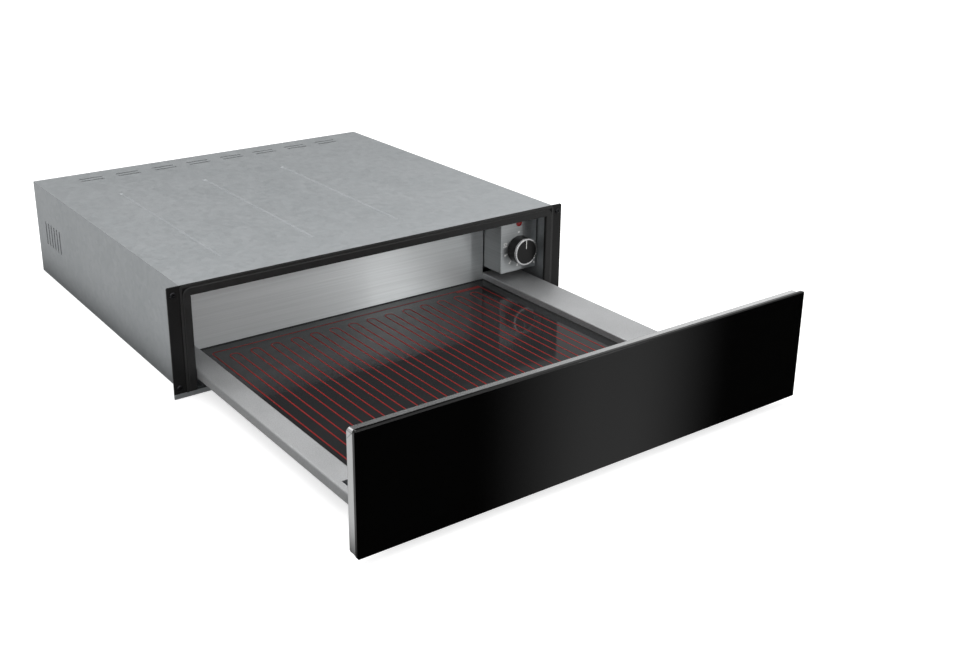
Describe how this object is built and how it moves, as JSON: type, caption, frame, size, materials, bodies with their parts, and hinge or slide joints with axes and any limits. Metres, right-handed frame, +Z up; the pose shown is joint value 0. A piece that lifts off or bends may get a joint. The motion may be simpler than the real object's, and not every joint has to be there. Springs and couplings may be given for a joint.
{
  "type": "built-in warming drawer",
  "caption": "Low built-in kitchen drawer that warms plates: black glass front, steel side rails, heated glass tray, control box with knob and lamp, telescopic runners.",
  "frame": {"origin": "on the underside of the casing, in the middle of the plane where the front frame seats on the cabinet", "axes": "+X to the right along the front, +Y from the front towards the back, +Z up"},
  "size_m": [0.595, 0.9662, 0.14],
  "materials": {
    "galvanised_sheet": "zinc-coated steel sheet with a fine spangle",
    "stainless_satin": "satin stainless steel, brushed across the front",
    "stainless_brushed": "brushed stainless steel with long horizontal grain",
    "silver_frame": "silver powder-coated steel frame",
    "black_enamel": "black enamelled steel",
    "black_plastic": "black moulded plastic",
    "seal_rubber": "black silicone rubber",
    "black_glass": "black back-painted glass, polished",
    "plate_glass": "dark toughened glass, satin gloss",
    "track_print": "red screen print",
    "glue": "black silicone adhesive",
    "mat": "orange silicone heater mat",
    "insulation": "mineral fibre board",
    "runner_steel": "bright zinc-plated steel",
    "ball_steel": "polished bearing steel",
    "cage_plastic": "natural acetal",
    "lens_red": "translucent red polycarbonate",
    "knob_black": "black moulded plastic, satin gloss",
    "chrome_trim": "bright chrome plating",
    "white_print": "white moulded inlay",
    "phenolic": "moulded thermoset plastic",
    "terminal_plastic": "white moulded polyamide"
  },
  "bodies": {
    "casing": {"base_pan": "galvanised_sheet", "side_panel_left": "galvanised_sheet", "side_panel_right": "galvanised_sheet", "top_panel": "galvanised_sheet", "back_panel": "galvanised_sheet", "front_frame": "black_enamel", "seal_carrier": "black_plastic", "door_seal": "seal_rubber", "control_box": "stainless_brushed", "control_box_cover": "galvanised_sheet", "indicator_lens": "lens_red", "thermostat_body": "phenolic", "runner_bracket_left": "galvanised_sheet", "runner_bracket_right": "galvanised_sheet", "cabinet_runner_left": "runner_steel", "cabinet_runner_right": "runner_steel", "latch_body": "black_plastic", "terminal_block": "terminal_plastic", "cable_gland": "black_plastic"},
    "drawer": {"front_glass": "black_glass", "glue_line": "glue", "front_backing": "silver_frame", "front_tie_left": "galvanised_sheet", "front_tie_right": "galvanised_sheet", "tray_pan": "galvanised_sheet", "rail_cover_left": "stainless_satin", "rail_cover_right": "stainless_satin", "back_wall": "stainless_brushed", "heating_plate": "plate_glass", "heating_track": "track_print", "heater_mat": "mat", "insulation_board": "insulation", "thermal_cutout": "phenolic", "latch_striker": "black_plastic", "drawer_runner_left": "runner_steel", "drawer_runner_right": "runner_steel"},
    "middle_member_left": {"middle_runner_left": "runner_steel"},
    "middle_member_right": {"middle_runner_right": "runner_steel"},
    "outer_ball_cage_left": {"outer_cage_left": "cage_plastic", "outer_balls_left": "ball_steel"},
    "outer_ball_cage_right": {"outer_cage_right": "cage_plastic", "outer_balls_right": "ball_steel"},
    "inner_ball_cage_left": {"inner_cage_left": "cage_plastic", "inner_balls_left": "ball_steel"},
    "inner_ball_cage_right": {"inner_cage_right": "cage_plastic", "inner_balls_right": "ball_steel"},
    "plunger": {"latch_plunger": "terminal_plastic"},
    "knob": {"knob_body": "knob_black", "knob_ring": "chrome_trim", "knob_pointer": "white_print", "thermostat_shaft": "runner_steel"}
  },
  "joints": [
    {"name": "drawer_slide", "type": "slide", "parent": "casing", "child": "drawer", "axis": [0, -1, 0], "range_m": [-0.402, 0]},
    {"name": "middle_slide_left", "type": "slide", "parent": "casing", "child": "middle_member_left", "axis": [0, -1, 0], "range_m": [-0.2012, 0]},
    {"name": "outer_cage_roll_left", "type": "slide", "parent": "casing", "child": "outer_ball_cage_left", "axis": [0, -1, 0], "range_m": [-0.1007, 0]},
    {"name": "inner_cage_roll_left", "type": "slide", "parent": "casing", "child": "inner_ball_cage_left", "axis": [0, -1, 0], "range_m": [-0.3017, 0]},
    {"name": "middle_slide_right", "type": "slide", "parent": "casing", "child": "middle_member_right", "axis": [0, -1, 0], "range_m": [-0.2012, 0]},
    {"name": "outer_cage_roll_right", "type": "slide", "parent": "casing", "child": "outer_ball_cage_right", "axis": [0, -1, 0], "range_m": [-0.1007, 0]},
    {"name": "inner_cage_roll_right", "type": "slide", "parent": "casing", "child": "inner_ball_cage_right", "axis": [0, -1, 0], "range_m": [-0.3017, 0]},
    {"name": "latch_press", "type": "slide", "parent": "casing", "child": "plunger", "axis": [0, 1, 0], "range_m": [0, 0.004], "stiffness_N_per_m": 400, "springref_m": -0.002},
    {"name": "knob_turn", "type": "hinge", "parent": "casing", "child": "knob", "pos_m": [0.2434, 0.0286, 0.0746], "axis": [0, 1, 0], "range_deg": [0, 290]}
  ],
  "couplings": [
    {"joint": "middle_slide_left", "follows": "drawer_slide", "ratio": 0.5},
    {"joint": "outer_cage_roll_left", "follows": "drawer_slide", "ratio": 0.25},
    {"joint": "inner_cage_roll_left", "follows": "drawer_slide", "ratio": 0.75},
    {"joint": "middle_slide_right", "follows": "drawer_slide", "ratio": 0.5},
    {"joint": "outer_cage_roll_right", "follows": "drawer_slide", "ratio": 0.25},
    {"joint": "inner_cage_roll_right", "follows": "drawer_slide", "ratio": 0.75}
  ]
}
